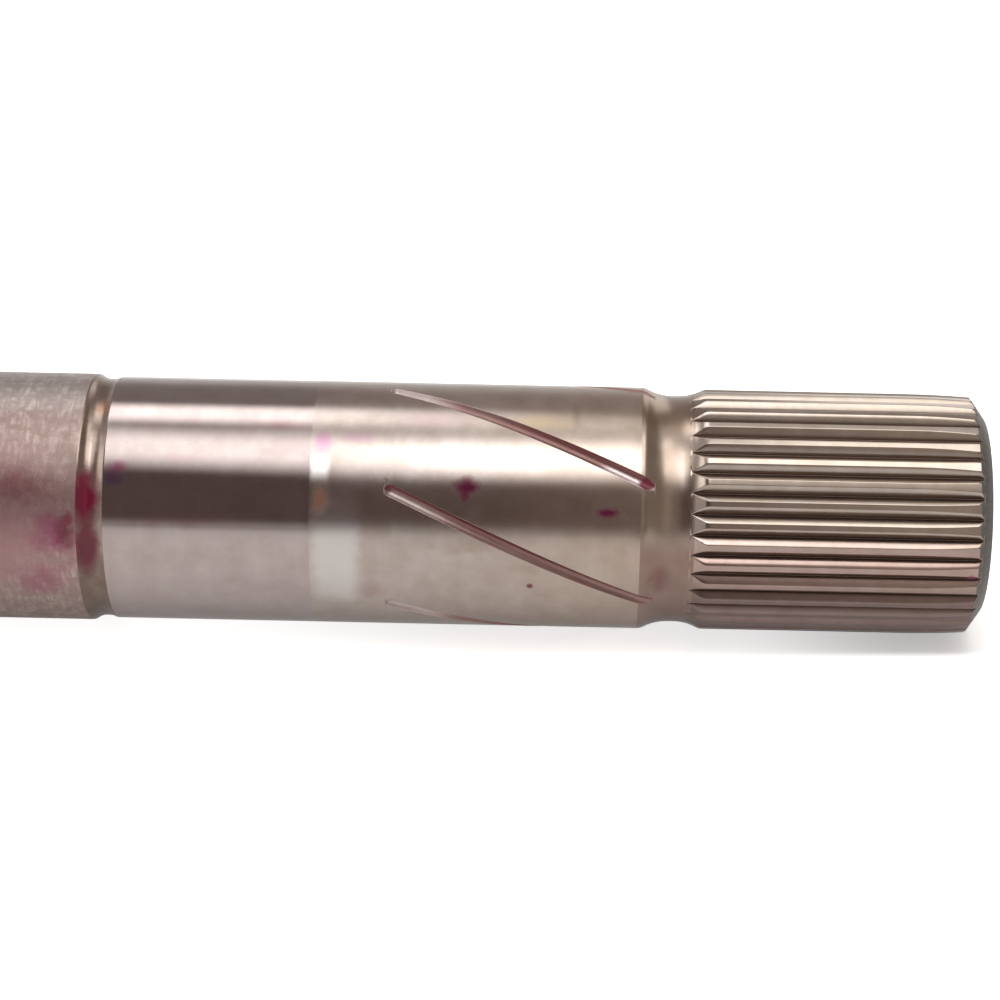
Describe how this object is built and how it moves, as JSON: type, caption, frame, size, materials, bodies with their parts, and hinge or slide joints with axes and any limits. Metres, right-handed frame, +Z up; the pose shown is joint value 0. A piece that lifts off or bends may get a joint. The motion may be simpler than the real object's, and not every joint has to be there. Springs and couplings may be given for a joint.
{
  "type": "splined axle shaft",
  "caption": "Round steel axle shaft with an involute splined end, a relief neck, a ground journal with spiral oil grooves, a seal track and a raw forged bar.",
  "frame": {"origin": "on the shaft's axis, half way along the ground journal", "axes": "+X along the shaft's axis towards the splined end, +Z up"},
  "size_m": [0.44, 0.0392, 0.0392],
  "materials": {
    "steel": "bare alloy steel: raw forged skin, polished seal track, ground journal and machined spline with a light brown oil film and magenta dye stains"
  },
  "bodies": {
    "root": {"axle_shaft": "steel"}
  },
  "joints": []
}
